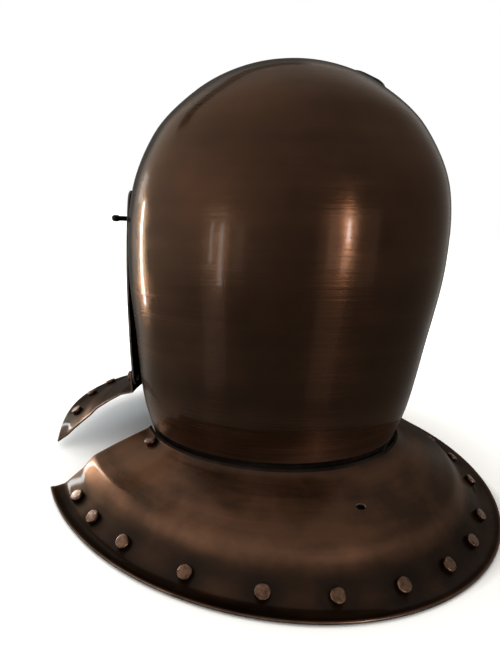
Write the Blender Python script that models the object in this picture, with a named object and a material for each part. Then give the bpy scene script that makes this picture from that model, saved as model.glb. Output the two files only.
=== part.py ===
"""Visored helmet: a spun skull on a flared collar, with a face plate that swings at the temples.

Metres, +Z up. The face looks along -Y and the wearer's left is +X. The origin is on the floor,
in the middle of the collar's rim. Angles round the helmet start at the back and grow towards
the wearer's left.
"""
import math

import bpy
import bmesh
from mathutils import Matrix, Vector

# Sheet metal, and the gap that separate pieces keep
SHEET = 0.0014
GAP = 0.0004

# Stance: the rim lies flat and the skull leans towards the face
LEAN = math.radians(5.3)
NECK_HEIGHT = 0.0357
NECK_SHIFT = 0.001

# Skull, measured along its own axis from the neck line
SKULL_HALF_WIDTH = 0.110
SKULL_HALF_LENGTH = 0.120
SKULL_HEIGHT = 0.2674
SKULL_BELOW_NECK = 0.010
SKULL_SIDES = 42
SKULL_ROWS = 15
# Shares of the skull's height, of its half width and length, and of its half length
SKULL_COLUMNS = ("height", "size", "set_back")
SKULL_SECTIONS = (
    (0.000, 0.800, -0.010),
    (0.120, 0.886, 0.013),
    (0.300, 0.941, 0.050),
    (0.500, 0.992, 0.084),
    (0.680, 0.966, 0.107),
    (0.820, 0.827, 0.107),
    (0.920, 0.594, 0.106),
    (0.975, 0.359, 0.105),
    (1.000, 0.000, 0.105),
)

# Opening for the face, behind the visor
FACE_HALF_WIDTH = 0.070
FACE_BOTTOM = 0.046
FACE_TOP = 0.160
FACE_CORNER = 0.026

# Visor, whose heights are above the neck line
VISOR_BOTTOM = 0.024
VISOR_TOP = 0.176
VISOR_PLAY = 0.0030
VISOR_HALF_SPAN = 52.0
VISOR_CORNER = 0.008
VISOR_TOP_TUCK = 0.0036
VISOR_BOTTOM_TUCK = 0.0021
VISOR_BROW_REACH = 0.008
VISOR_KEEL_REACH = 0.018
VISOR_KEEL_SPAN = 48.0
VISOR_SIDES = 32
VISOR_ROWS = 7

# Sight and breathing slots in the visor
SIGHT_HEIGHT = 0.127
SIGHT_LENGTH = 0.046
SIGHT_WIDTH = 0.008
SIGHT_MIDDLE = 0.034
BREATH_HEIGHT = 0.074
BREATH_LENGTH = 0.022
BREATH_WIDTH = 0.0036
BREATH_PITCH = 0.011
BREATH_FIRST = 0.014
BREATHS_EACH_SIDE = 5

# Pivot bolts at the temples
HINGE_HEIGHT = 0.155
HINGE_FORWARD = 0.0700
BOLT_RADIUS = 0.0018
BOLT_REACH = 0.0135
BOLT_TIP_RADIUS = 0.0024
BOLT_TIP_LENGTH = 0.0050
BOLT_HEAD_RADIUS = 0.0045
BOLT_HEAD_HEIGHT = 0.0025

# Collar: one plate round the back, and one on the visor
RIM_HALF_WIDTH = 0.165
RIM_HALF_LENGTH = 0.180
REAR_RIM_HALF_SPAN = 102.0
REAR_NECK_HALF_SPAN = 111.0
NECK_ROOM = 0.00124
REAR_NECK_EASE = 0.0013
REAR_STEPS = 50
FRONT_RIM_HALF_WIDTH = 0.164
FRONT_RIM_HEIGHT = 0.023
FRONT_RIM_DROOP = 0.017
FRONT_RIM_HALF_SPAN = 58.0
FRONT_STEPS = 30
FRONT_FLANGE_UP = 0.012
FRONT_FLANGE_DOWN = 0.004
# Shares of the run from the neck out to the rim, and of the drop between them
REAR_SECTION = (
    (0.000, 0.000),
    (0.040, 0.070),
    (0.200, 0.205),
    (0.400, 0.365),
    (0.590, 0.520),
    (0.690, 0.750),
    (0.870, 1.000),
    (1.000, 1.000),
)
FRONT_SECTION = (
    (0.000, 0.000),
    (0.140, 0.060),
    (0.300, 0.220),
    (0.480, 0.410),
    (0.560, 0.540),
    (0.870, 0.905),
    (1.000, 1.000),
)

# Rivets
RIVET_RADIUS = 0.0044
RIVET_HEIGHT = 0.0036
RIVET_SHANK = 0.0020
RIVET_TAIL_RADIUS = 0.0030
RIVET_TAIL_HEIGHT = 0.0010
RIVET_SIDES = 8
REAR_RIVET_OUT = 0.810
REAR_RIVET_STEP = 13.85
# How far each rivet strays from even spacing, in degrees, from the wearer's right to left
REAR_RIVET_STRAYS = (
    0.0, 0.0, 1.1, -1.2, -2.0, 1.9, 0.8, -0.5, -0.6, 0.1, 0.6, 2.2, 4.1, 1.6, -2.6,
)
FRONT_RIVET_OUT = 0.820
FRONT_RIVET_STEP = 10.95
FRONT_RIVET_COUNT = 10
NECK_RIVET_ANGLE = 96.7
NECK_RIVET_OUT = 0.085
FLANGE_RIVET_ANGLE = 47.5

# Small hole in the back of the collar
NAIL_HOLE_ANGLE = 14.9
NAIL_HOLE_OUT = 0.330
NAIL_HOLE_WIDTH = 0.0065
NAIL_HOLE_HEIGHT = 0.0045

# Small raised plate on the crown
CROWN_PLATE_LENGTH = 0.022
CROWN_PLATE_WIDTH = 0.012
CROWN_PLATE_HEIGHT = 0.0036
CROWN_PLATE_RIGHT = 0.0298
CROWN_PLATE_BACK = 0.0628
CROWN_PLATE_TURN = math.radians(140.0)

HELMET_AXIS = Matrix.Translation((0, NECK_SHIFT, NECK_HEIGHT)) @ Matrix.Rotation(LEAN, 4, "X")
HINGE = HELMET_AXIS @ Matrix.Translation((0, -HINGE_FORWARD, HINGE_HEIGHT))


def clear_scene():
    for old in list(bpy.data.objects):
        bpy.data.objects.remove(old, do_unlink=True)


def metal(name, colour, roughness):
    """A patinated copper finish."""
    material = bpy.data.materials.new(name)
    material.use_nodes = True
    shader = material.node_tree.nodes["Principled BSDF"]
    shader.inputs["Base Color"].default_value = (*colour, 1)
    shader.inputs["Roughness"].default_value = roughness
    shader.inputs["Metallic"].default_value = 1.0
    return material


def frame_empty(name, matrix):
    """An empty that pieces hang on, placed by a world matrix."""
    empty = bpy.data.objects.new(name, None)
    bpy.context.collection.objects.link(empty)
    empty.matrix_basis = matrix
    return empty


def add_object(name, mesh, material, parent, parent_matrix, matrix):
    """Links a mesh as a named piece, placed by a world matrix under its parent."""
    piece = bpy.data.objects.new(name, mesh)
    bpy.context.collection.objects.link(piece)
    if parent:
        piece.parent = parent
    piece.matrix_basis = parent_matrix.inverted() @ matrix
    if material and not mesh.materials:
        mesh.materials.append(material)
    return piece


def surface_mesh(name, rows, closed=False, flip=False):
    """An open surface through rows of points; a row of one point is a pole."""
    bm = bmesh.new()
    grid = [[bm.verts.new(point) for point in row] for row in rows]
    for lower, upper in zip(grid, grid[1:]):
        count = len(lower)
        for i in range(count if closed else count - 1):
            j = (i + 1) % count
            if len(upper) == 1:
                corners = [lower[i], upper[0], lower[j]]
            else:
                corners = [lower[i], upper[i], upper[j], lower[j]]
            if flip:
                corners.reverse()
            bm.faces.new(corners)
    mesh = bpy.data.meshes.new(name)
    bm.to_mesh(mesh)
    bm.free()
    return mesh


def shade(mesh):
    mesh.shade_smooth()
    mesh.set_sharp_from_angle(angle=math.radians(32))


def thicken(piece):
    """Gives an outer surface the sheet's thickness, inwards."""
    wall = piece.modifiers.new("sheet", "SOLIDIFY")
    wall.thickness = SHEET
    wall.offset = -1
    wall.use_even_offset = True
    wall.use_quality_normals = True


def cut(piece, cutter):
    """Cuts one piece by a hidden guide."""
    hole = piece.modifiers.new(cutter.name, "BOOLEAN")
    hole.operation = "DIFFERENCE"
    hole.solver = "EXACT"
    hole.object = cutter


def guide(name, bm):
    """Turns a bmesh into a hidden cutter in world coordinates."""
    mesh = bpy.data.meshes.new(name)
    bm.to_mesh(mesh)
    bm.free()
    cutter = bpy.data.objects.new(name, mesh)
    bpy.context.collection.objects.link(cutter)
    cutter.hide_render = True
    cutter.display_type = "WIRE"
    return cutter


def turned_mesh(name, profile, sides):
    """A round solid about Z from a profile of radius and height, top to bottom."""
    bm = bmesh.new()
    points = [bm.verts.new((radius, 0, height)) for radius, height in profile]
    edges = [bm.edges.new(pair) for pair in zip(points, points[1:])]
    bmesh.ops.spin(
        bm, geom=points + edges, axis=(0, 0, 1), cent=(0, 0, 0), angle=math.tau, steps=sides
    )
    bmesh.ops.remove_doubles(bm, verts=bm.verts, dist=1e-6)
    bmesh.ops.recalc_face_normals(bm, faces=bm.faces)
    mesh = bpy.data.meshes.new(name)
    bm.to_mesh(mesh)
    bm.free()
    shade(mesh)
    return mesh


def smooth_value(columns, table, wanted, at):
    """Reads one column of a table of sections at a share of the height, without corners."""
    value = columns.index(wanted)
    heights = [row[0] for row in table]
    values = [row[value] for row in table]
    slopes = []
    for i in range(len(table)):
        before = max(i - 1, 0)
        after = min(i + 1, len(table) - 1)
        slopes.append((values[after] - values[before]) / (heights[after] - heights[before]))
    last = len(table) - 2
    i = min(max(sum(height <= at for height in heights) - 1, 0), last)
    run = heights[i + 1] - heights[i]
    t = (at - heights[i]) / run
    start = values[i] * (1 + 2 * t) * (1 - t) ** 2 + slopes[i] * run * t * (1 - t) ** 2
    end = values[i + 1] * (3 - 2 * t) * t ** 2 - slopes[i + 1] * run * t ** 2 * (1 - t)
    return start + end


SKULL_AREAS = tuple((height, size ** 2) for height, size, _ in SKULL_SECTIONS)


def skull_ring(share):
    """Half width, half length and centre of the skull at a share of its height."""
    size = math.sqrt(max(smooth_value(("height", "area"), SKULL_AREAS, "area", share), 0))
    back = smooth_value(SKULL_COLUMNS, SKULL_SECTIONS, "set_back", share)
    return SKULL_HALF_WIDTH * size, SKULL_HALF_LENGTH * size, SKULL_HALF_LENGTH * back


def skull_share(height):
    return (height + SKULL_BELOW_NECK) / SKULL_HEIGHT


def ring_point(half_width, half_length, centre, degrees, height):
    """A point on an oval ring, by its angle from the back."""
    angle = math.radians(degrees)
    return Vector((half_width * math.sin(angle), centre + half_length * math.cos(angle), height))


def skull_rows():
    rows = []
    for row in range(SKULL_ROWS):
        share = math.sin(math.pi / 2 * row / SKULL_ROWS)
        width, length, centre = skull_ring(share)
        height = share * SKULL_HEIGHT - SKULL_BELOW_NECK
        turns = [360 * side / SKULL_SIDES for side in range(SKULL_SIDES)]
        rows.append([ring_point(width, length, centre, turn, height) for turn in turns])
    crown = SKULL_HEIGHT - SKULL_BELOW_NECK
    rows.append([Vector((0, skull_ring(1)[2], crown))])
    return rows


def rounded_box(bm, half_width, bottom, top, corner, near, far):
    """An upright rounded plate between two places along Y, in helmet axes."""
    outline = []
    corners = (
        (half_width - corner, top - corner, 0),
        (corner - half_width, top - corner, 90),
        (corner - half_width, bottom + corner, 180),
        (half_width - corner, bottom + corner, 270),
    )
    for x, z, start in corners:
        for step in range(6):
            angle = math.radians(start + 18 * step)
            outline.append((x + corner * math.cos(angle), near, z + corner * math.sin(angle)))
    face = bm.faces.new([bm.verts.new(HELMET_AXIS @ Vector(point)) for point in outline])
    swept = bmesh.ops.extrude_face_region(bm, geom=[face])
    moved = [item for item in swept["geom"] if isinstance(item, bmesh.types.BMVert)]
    along = HELMET_AXIS.to_3x3() @ Vector((0, far - near, 0))
    bmesh.ops.translate(bm, verts=moved, vec=along)
    bmesh.ops.recalc_face_normals(bm, faces=bm.faces)


def make_skull(axis, copper):
    mesh = surface_mesh("skull", skull_rows(), closed=True)
    shade(mesh)
    skull = add_object("skull", mesh, copper, axis, HELMET_AXIS, HELMET_AXIS)
    thicken(skull)
    bm = bmesh.new()
    near = -0.2 * SKULL_HALF_LENGTH
    far = -2 * SKULL_HALF_LENGTH
    rounded_box(bm, FACE_HALF_WIDTH, FACE_BOTTOM, FACE_TOP, FACE_CORNER, near, far)
    cut(skull, guide("face_opening", bm))
    cut(skull, bolt_guide("skull_bolt_holes"))
    return skull


def visor_widest():
    """The oval of the visor's outside where it is widest."""
    size = max(row[1] for row in SKULL_SECTIONS)
    back = [row[2] for row in SKULL_SECTIONS if row[1] == size][0]
    off = VISOR_PLAY + SHEET
    return SKULL_HALF_WIDTH * size + off, SKULL_HALF_LENGTH * size + off, SKULL_HALF_LENGTH * back


def visor_point(degrees, height, proud=0.0):
    """A point on the visor's outside, by its angle from the middle of the face."""
    width, length, centre = visor_widest()
    share = (height - VISOR_BOTTOM) / (VISOR_TOP - VISOR_BOTTOM)
    tuck = VISOR_TOP_TUCK if share > 0.5 else VISOR_BOTTOM_TUCK
    off = proud - tuck * (2 * share - 1) ** 2
    keel = max(0.0, 1 - abs(degrees) / VISOR_KEEL_SPAN)
    bulge = math.sin(math.pi * min(max(share, 0.0), 1.0))
    reach = VISOR_BROW_REACH + (VISOR_KEEL_REACH - VISOR_BROW_REACH) * bulge
    forward = reach * keel * keel * (3 - 2 * keel)
    point = ring_point(width + off, length + off, centre, 180 - degrees, height)
    return point - Vector((0, forward, 0))


def visor_half_span(height):
    """The visor's half span at a height, less where a corner is rounded."""
    edge = min(height - VISOR_BOTTOM, VISOR_TOP - height)
    inside = VISOR_CORNER - max(VISOR_CORNER - edge, 0.0)
    cut_back = VISOR_CORNER - math.sqrt(max(VISOR_CORNER ** 2 - (VISOR_CORNER - inside) ** 2, 0))
    return VISOR_HALF_SPAN - math.degrees(cut_back / visor_widest()[0])


def visor_heights():
    """Row heights, closer together at the rounded corners."""
    near_edge = [VISOR_CORNER * share for share in (0.0, 0.12, 0.4, 1.0)]
    heights = [VISOR_BOTTOM + step for step in near_edge]
    middle = VISOR_TOP - VISOR_BOTTOM - 2 * VISOR_CORNER
    for row in range(1, VISOR_ROWS):
        heights.append(VISOR_BOTTOM + VISOR_CORNER + middle * row / VISOR_ROWS)
    heights.extend(VISOR_TOP - step for step in reversed(near_edge))
    return heights


def slot_guide(bm, x, height, long, wide, upright):
    """A round-ended slot cut through the visor along Y."""
    half_width = (wide if upright else long) / 2
    half_height = (long if upright else wide) / 2
    corner = wide / 2.02
    outline = []
    for sign_x, sign_z, turn in ((1, 1, 0), (-1, 1, 90), (-1, -1, 180), (1, -1, 270)):
        for step in range(3):
            angle = math.radians(turn + 45 * step)
            outline.append((
                x + sign_x * (half_width - corner) + corner * math.cos(angle),
                height + sign_z * (half_height - corner) + corner * math.sin(angle),
            ))
    near = -0.3 * SKULL_HALF_LENGTH
    far = -2 * SKULL_HALF_LENGTH
    ends = []
    for y in (near, far):
        ends.append([bm.verts.new(HELMET_AXIS @ Vector((px, y, pz))) for px, pz in outline])
    bm.faces.new(ends[0])
    bm.faces.new(list(reversed(ends[1])))
    count = len(outline)
    for i in range(count):
        j = (i + 1) % count
        bm.faces.new((ends[0][j], ends[0][i], ends[1][i], ends[1][j]))


def make_visor(hinge, copper):
    rows = []
    for height in visor_heights():
        span = visor_half_span(height)
        turns = [span - 2 * span * side / VISOR_SIDES for side in range(VISOR_SIDES + 1)]
        rows.append([HELMET_AXIS @ visor_point(turn, height) for turn in turns])
    mesh = surface_mesh("visor", rows)
    mesh.transform(HINGE.inverted())
    shade(mesh)
    visor = add_object("visor", mesh, copper, hinge, HINGE, HINGE)
    thicken(visor)
    bm = bmesh.new()
    for side in (-1, 1):
        slot_guide(bm, side * SIGHT_MIDDLE, SIGHT_HEIGHT, SIGHT_LENGTH, SIGHT_WIDTH, False)
        for slot in range(BREATHS_EACH_SIDE):
            x = side * (BREATH_FIRST + BREATH_PITCH * slot)
            slot_guide(bm, x, BREATH_HEIGHT, BREATH_LENGTH, BREATH_WIDTH, True)
    bmesh.ops.recalc_face_normals(bm, faces=bm.faces)
    cut(visor, guide("visor_slots", bm))
    cut(visor, bolt_guide("visor_bolt_holes"))
    cut(visor, pin_guide("flange_rivet_holes_inner", flange_rivet_places()))
    return visor


def side_reach(point_at, wanted, low, high):
    """Finds the angle at which a surface comes to a wanted place along Y."""
    for _ in range(40):
        middle = (low + high) / 2
        if point_at(middle).y > wanted:
            low = middle
        else:
            high = middle
    return point_at((low + high) / 2)


def skull_reach(back=0.0):
    """Distance out to the skull's outside at the hinge, or a little behind it."""
    width, length, centre = skull_ring(skull_share(HINGE_HEIGHT))
    place = back - HINGE_FORWARD
    return side_reach(
        lambda turn: ring_point(width, length, centre, turn, HINGE_HEIGHT), place, 0, 180
    ).x


def visor_reach(back=0.0):
    """Distance out to the visor's outside at the hinge, or a little behind it."""
    place = back - HINGE_FORWARD
    return side_reach(lambda turn: visor_point(180 - turn, HINGE_HEIGHT), place, 90, 180).x


def bolt_guide(name):
    """Two pins across the temples, a little wider than the bolts."""
    bm = bmesh.new()
    reach = visor_reach()
    for side in (-1, 1):
        place = HINGE @ Matrix.Translation((side * reach * 0.9, 0, 0)) @ Matrix.Rotation(
            math.pi / 2, 4, "Y"
        )
        bmesh.ops.create_cone(
            bm,
            cap_ends=True,
            segments=10,
            radius1=BOLT_RADIUS + GAP,
            radius2=BOLT_RADIUS + GAP,
            depth=reach * 0.5,
            matrix=place,
        )
    return guide(name, bm)


def make_bolts(axis, dark):
    """Two bolts with a head inside the skull and a round tip outside the visor."""
    inside = skull_reach(-BOLT_HEAD_RADIUS) - 1.6 * SHEET - GAP
    tip = visor_reach() + BOLT_REACH
    profile = [(0.0, tip)]
    for step in range(1, 4):
        angle = math.radians(30 * step)
        radius = BOLT_TIP_RADIUS * math.sin(angle)
        profile.append((radius, tip - BOLT_TIP_RADIUS * (1 - math.cos(angle))))
    profile.extend((
        (BOLT_TIP_RADIUS, tip - BOLT_TIP_LENGTH),
        (BOLT_RADIUS, tip - BOLT_TIP_LENGTH - (BOLT_TIP_RADIUS - BOLT_RADIUS)),
        (BOLT_RADIUS, inside),
        (BOLT_HEAD_RADIUS, inside),
        (BOLT_HEAD_RADIUS, inside - BOLT_HEAD_HEIGHT * 0.4),
        (BOLT_HEAD_RADIUS * 0.6, inside - BOLT_HEAD_HEIGHT),
        (0.0, inside - BOLT_HEAD_HEIGHT),
    ))
    mesh = turned_mesh("pivot_bolt", profile, 10)
    for side, name in ((1, "pivot_bolt_left"), (-1, "pivot_bolt_right")):
        place = HINGE @ Matrix.Rotation(side * math.pi / 2, 4, "Y")
        add_object(name, mesh, dark, axis, HELMET_AXIS, place)


def plate_point(neck, rim, out, down):
    """A point between a plate's neck edge and its rim, by shares of run and drop."""
    return Vector((
        neck.x + (rim.x - neck.x) * out,
        neck.y + (rim.y - neck.y) * out,
        neck.z + (rim.z - neck.z) * down,
    ))


def section_down(section, out):
    """The share of the drop at a share of the run."""
    for start, end in zip(section, section[1:]):
        if start[0] <= out <= end[0]:
            return start[1] + (end[1] - start[1]) * (out - start[0]) / (end[0] - start[0])
    return 1.0


def rear_point(degrees, out, down=None):
    """A point on the back collar's outside, by its angle from the back."""
    width, length, centre = skull_ring(skull_share(0.0))
    back = length + NECK_ROOM + REAR_NECK_EASE
    neck = ring_point(width + NECK_ROOM, back, centre, degrees, 0.0)
    rim = ring_point(RIM_HALF_WIDTH, RIM_HALF_LENGTH, 0.0, degrees, SHEET)
    drop = section_down(REAR_SECTION, out) if down is None else down
    return plate_point(HELMET_AXIS @ neck, rim, out, drop)


def front_point(degrees, out, down=None):
    """A point on the front collar's outside, by its angle from the middle of the face.

    The rim droops towards the plate's two ends.
    """
    neck = visor_point(degrees, VISOR_BOTTOM - FRONT_FLANGE_DOWN, SHEET + GAP)
    droop = FRONT_RIM_DROOP * (abs(degrees) / FRONT_RIM_HALF_SPAN) ** 7
    height = FRONT_RIM_HEIGHT - droop
    rim = ring_point(FRONT_RIM_HALF_WIDTH, RIM_HALF_LENGTH, 0.0, 180 - degrees, height)
    drop = section_down(FRONT_SECTION, out) if down is None else down
    return plate_point(HELMET_AXIS @ neck, rim, out, drop)


def flange_point(degrees, up):
    """A point on the upright flange that laps over the visor's lower edge."""
    return HELMET_AXIS @ visor_point(degrees, VISOR_BOTTOM + up, SHEET + GAP)


def surface_frame(point_at, first, second):
    """A matrix on a surface, with Z along its outward normal."""
    step = 0.001
    origin = point_at(first, second)
    along = point_at(first + 1.0, second) - point_at(first - 1.0, second)
    across = point_at(first, second + step) - point_at(first, second - step)
    normal = along.cross(across).normalized()
    if normal.dot(Vector((origin.x, origin.y, 0.02))) < 0:
        normal.negate()
    x = along.normalized()
    y = normal.cross(x)
    turned = Matrix((x, y, normal)).transposed().to_4x4()
    return Matrix.Translation(origin) @ turned


def rear_rivet_places():
    middle = (len(REAR_RIVET_STRAYS) - 1) / 2
    turns = [REAR_RIVET_STEP * (i - middle) + stray for i, stray in enumerate(REAR_RIVET_STRAYS)]
    return [surface_frame(rear_point, turn, REAR_RIVET_OUT) for turn in turns]


def neck_rivet_places():
    return [surface_frame(rear_point, turn, NECK_RIVET_OUT)
            for turn in (-NECK_RIVET_ANGLE, NECK_RIVET_ANGLE)]


def front_rivet_places():
    middle = (FRONT_RIVET_COUNT - 1) / 2
    turns = [FRONT_RIVET_STEP * (i - middle) for i in range(FRONT_RIVET_COUNT)]
    return [surface_frame(front_point, turn, FRONT_RIVET_OUT) for turn in turns]


def flange_rivet_places():
    return [surface_frame(flange_point, turn, FRONT_FLANGE_UP / 2)
            for turn in (-FLANGE_RIVET_ANGLE, FLANGE_RIVET_ANGLE)]


def pin_guide(name, places):
    """Pins for the holes that rivets pass through."""
    bm = bmesh.new()
    for place in places:
        bmesh.ops.create_cone(
            bm,
            cap_ends=True,
            segments=8,
            radius1=RIVET_SHANK + GAP,
            radius2=RIVET_SHANK + GAP,
            depth=8 * SHEET,
            matrix=place,
        )
    return guide(name, bm)


def nail_hole_guide():
    """The small oval hole through the back of the collar."""
    bm = bmesh.new()
    place = surface_frame(rear_point, NAIL_HOLE_ANGLE, NAIL_HOLE_OUT)
    oval = Matrix.Diagonal((NAIL_HOLE_WIDTH / 2, NAIL_HOLE_HEIGHT / 2, 8 * SHEET, 1))
    bmesh.ops.create_cone(
        bm, cap_ends=True, segments=14, radius1=1, radius2=1, depth=1, matrix=place @ oval
    )
    return guide("nail_hole", bm)


def even_turns(half_span, steps):
    """Evenly spaced angles from one end of a plate to the other."""
    return [2 * half_span * step / steps - half_span for step in range(steps + 1)]


def plate_rows(point_at, section, neck_span, rim_span, steps):
    """Rows of a flared plate from its neck edge out to its rim."""
    rows = []
    for out, down in section:
        span = neck_span + (rim_span - neck_span) * out
        rows.append([point_at(turn, out, down) for turn in even_turns(span, steps)])
    return rows


def make_rear_collar(copper):
    rows = plate_rows(
        rear_point, REAR_SECTION, REAR_NECK_HALF_SPAN, REAR_RIM_HALF_SPAN, REAR_STEPS
    )
    mesh = surface_mesh("rear_collar", rows, flip=True)
    shade(mesh)
    collar = add_object("rear_collar", mesh, copper, None, Matrix(), Matrix())
    thicken(collar)
    places = rear_rivet_places() + neck_rivet_places()
    cut(collar, pin_guide("rear_rivet_holes", places))
    cut(collar, nail_hole_guide())


def make_front_collar(hinge, copper):
    rows = plate_rows(
        front_point, FRONT_SECTION, VISOR_HALF_SPAN, FRONT_RIM_HALF_SPAN, FRONT_STEPS
    )
    turns = even_turns(VISOR_HALF_SPAN, FRONT_STEPS)
    flange = [[flange_point(turn, up) for turn in turns] for up in (FRONT_FLANGE_UP, 0.0)]
    mesh = surface_mesh("front_collar", flange + rows)
    mesh.transform(HINGE.inverted())
    shade(mesh)
    collar = add_object("front_collar", mesh, copper, hinge, HINGE, HINGE)
    thicken(collar)
    cut(collar, pin_guide("front_rivet_holes", front_rivet_places() + flange_rivet_places()))


def rivet_mesh(name, walls):
    """A flat-domed rivet with its tail spread behind one or more walls."""
    grip = walls * SHEET + (walls - 1) * GAP
    profile = (
        (0.0, GAP + RIVET_HEIGHT),
        (RIVET_RADIUS * 0.70, GAP + RIVET_HEIGHT * 0.90),
        (RIVET_RADIUS, GAP + RIVET_HEIGHT * 0.45),
        (RIVET_RADIUS, GAP),
        (RIVET_SHANK, GAP),
        (RIVET_SHANK, -grip - GAP),
        (RIVET_TAIL_RADIUS, -grip - GAP),
        (0.0, -grip - GAP - RIVET_TAIL_HEIGHT),
    )
    return turned_mesh(name, profile, RIVET_SIDES)


def make_rivets(bright, hinge):
    single = rivet_mesh("rivet", 1)
    double = rivet_mesh("flange_rivet", 2)
    for i, place in enumerate(rear_rivet_places()):
        add_object(f"rear_rivet_{i + 1:02d}", single, bright, None, Matrix(), place)
    for place, side in zip(neck_rivet_places(), ("right", "left")):
        add_object(f"neck_rivet_{side}", single, bright, None, Matrix(), place)
    for i, place in enumerate(front_rivet_places()):
        add_object(f"front_rivet_{i + 1:02d}", single, bright, hinge, HINGE, place)
    for place, side in zip(flange_rivet_places(), ("right", "left")):
        add_object(f"flange_rivet_{side}", double, bright, hinge, HINGE, place)


def crown_height(x, y):
    """Height of the skull's outside above the neck line at a place in plan, near the crown."""
    low = 0.6
    high = 1.0
    for _ in range(40):
        share = (low + high) / 2
        width, length, centre = skull_ring(share)
        inside = (x / max(width, 1e-6)) ** 2 + ((y - centre) / max(length, 1e-6)) ** 2 < 1
        low, high = (share, high) if inside else (low, share)
    return low * SKULL_HEIGHT - SKULL_BELOW_NECK


def make_crown_plate(axis, dark):
    """A small raised plate with round ends that follows the dome."""
    half = CROWN_PLATE_WIDTH / 2
    straight = CROWN_PLATE_LENGTH / 2 - half
    outline = []
    for end, start in ((1, -90), (-1, 90)):
        for step in range(7):
            angle = math.radians(start + 30 * step)
            outline.append((end * straight + half * math.cos(angle), half * math.sin(angle)))
    turn = Matrix.Rotation(CROWN_PLATE_TURN, 2)
    seat = 2 * GAP
    top = seat + CROWN_PLATE_HEIGHT
    levels = (
        (0.0, seat),
        (0.5, seat),
        (1.0, seat),
        (1.0, seat + 0.5 * CROWN_PLATE_HEIGHT),
        (0.8, top),
        (0.4, top),
        (0.0, top),
    )
    bm = bmesh.new()
    grid = []
    for inset, lift in levels:
        ring = []
        for point in outline if inset else outline[:1]:
            x, y = turn @ Vector(point) * inset
            x -= CROWN_PLATE_RIGHT
            y += CROWN_PLATE_BACK
            ring.append(bm.verts.new((x, y, crown_height(x, y) + lift)))
        grid.append(ring)
    for lower, upper in zip(grid, grid[1:]):
        count = max(len(lower), len(upper))
        for i in range(count):
            j = (i + 1) % count
            corners = (lower[i % len(lower)], lower[j % len(lower)],
                       upper[j % len(upper)], upper[i % len(upper)])
            bm.faces.new(dict.fromkeys(corners))
    bmesh.ops.recalc_face_normals(bm, faces=bm.faces)
    mesh = bpy.data.meshes.new("crown_plate")
    bm.to_mesh(mesh)
    bm.free()
    shade(mesh)
    add_object("crown_plate", mesh, dark, axis, HELMET_AXIS, HELMET_AXIS)


def build():
    clear_scene()
    copper = metal("brown_copper", (0.16, 0.08, 0.045), 0.32)
    bright = metal("worn_copper", (0.42, 0.24, 0.15), 0.35)
    dark = metal("black_iron", (0.02, 0.018, 0.016), 0.5)
    axis = frame_empty("helmet_axis", HELMET_AXIS)
    hinge = frame_empty("visor_hinge", HINGE)
    make_skull(axis, copper)
    make_visor(hinge, copper)
    make_bolts(axis, dark)
    make_rear_collar(copper)
    make_front_collar(hinge, copper)
    make_rivets(bright, hinge)
    make_crown_plate(axis, dark)


build()
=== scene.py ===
"""Looks for the visored helmet, made round its solids.

Metres, in the frame's own axes: +Z up, the face looks along -Y and the wearer's left is +X.
"""
import math

import bmesh
import bpy
from mathutils import Matrix, Vector, noise


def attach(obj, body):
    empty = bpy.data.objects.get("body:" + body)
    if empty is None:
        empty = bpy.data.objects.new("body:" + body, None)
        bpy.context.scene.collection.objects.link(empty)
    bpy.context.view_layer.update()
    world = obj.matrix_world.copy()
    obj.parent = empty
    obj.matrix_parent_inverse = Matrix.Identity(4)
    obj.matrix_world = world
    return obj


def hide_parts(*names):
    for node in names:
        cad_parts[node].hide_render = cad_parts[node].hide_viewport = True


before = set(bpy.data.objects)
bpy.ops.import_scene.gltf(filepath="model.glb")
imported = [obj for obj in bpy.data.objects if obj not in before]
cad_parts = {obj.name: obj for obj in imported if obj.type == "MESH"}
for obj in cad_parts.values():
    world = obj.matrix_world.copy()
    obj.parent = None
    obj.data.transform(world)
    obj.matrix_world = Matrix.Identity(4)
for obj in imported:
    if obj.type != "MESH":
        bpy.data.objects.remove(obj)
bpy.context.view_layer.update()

# Sizes that follow the solids
SHEET = 0.0014
GAP = 0.0004
LEAN = math.radians(5.3)
NECK_HEIGHT = 0.0357
NECK_SHIFT = 0.001
SKULL_HALF_WIDTH = 0.110
SKULL_HALF_LENGTH = 0.120
SKULL_HEIGHT = 0.2674
SKULL_BELOW_NECK = 0.010
SKULL_COLUMNS = ("height", "size", "set_back")
SKULL_SECTIONS = (
    (0.000, 0.800, -0.010),
    (0.120, 0.886, 0.013),
    (0.300, 0.941, 0.050),
    (0.500, 0.992, 0.084),
    (0.680, 0.966, 0.107),
    (0.820, 0.827, 0.107),
    (0.920, 0.594, 0.106),
    (0.975, 0.359, 0.105),
    (1.000, 0.000, 0.105),
)
FACE_HALF_WIDTH = 0.070
FACE_BOTTOM = 0.046
FACE_TOP = 0.160
FACE_CORNER = 0.026
VISOR_BOTTOM = 0.024
VISOR_TOP = 0.176
VISOR_PLAY = 0.0030
VISOR_HALF_SPAN = 52.0
VISOR_CORNER = 0.008
VISOR_TOP_TUCK = 0.0036
VISOR_BOTTOM_TUCK = 0.0021
VISOR_BROW_REACH = 0.008
VISOR_KEEL_REACH = 0.018
VISOR_KEEL_SPAN = 48.0
SIGHT_HEIGHT = 0.127
SIGHT_LENGTH = 0.046
SIGHT_WIDTH = 0.008
SIGHT_MIDDLE = 0.034
BREATH_HEIGHT = 0.074
BREATH_LENGTH = 0.022
BREATH_WIDTH = 0.0036
BREATH_PITCH = 0.011
BREATH_FIRST = 0.014
BREATHS_EACH_SIDE = 5
HINGE_HEIGHT = 0.155
HINGE_FORWARD = 0.0700
BOLT_RADIUS = 0.0018
BOLT_REACH = 0.0135
BOLT_TIP_RADIUS = 0.0024
BOLT_TIP_LENGTH = 0.0050
BOLT_HEAD_RADIUS = 0.0045
BOLT_HEAD_HEIGHT = 0.0025
RIM_HALF_WIDTH = 0.165
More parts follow.
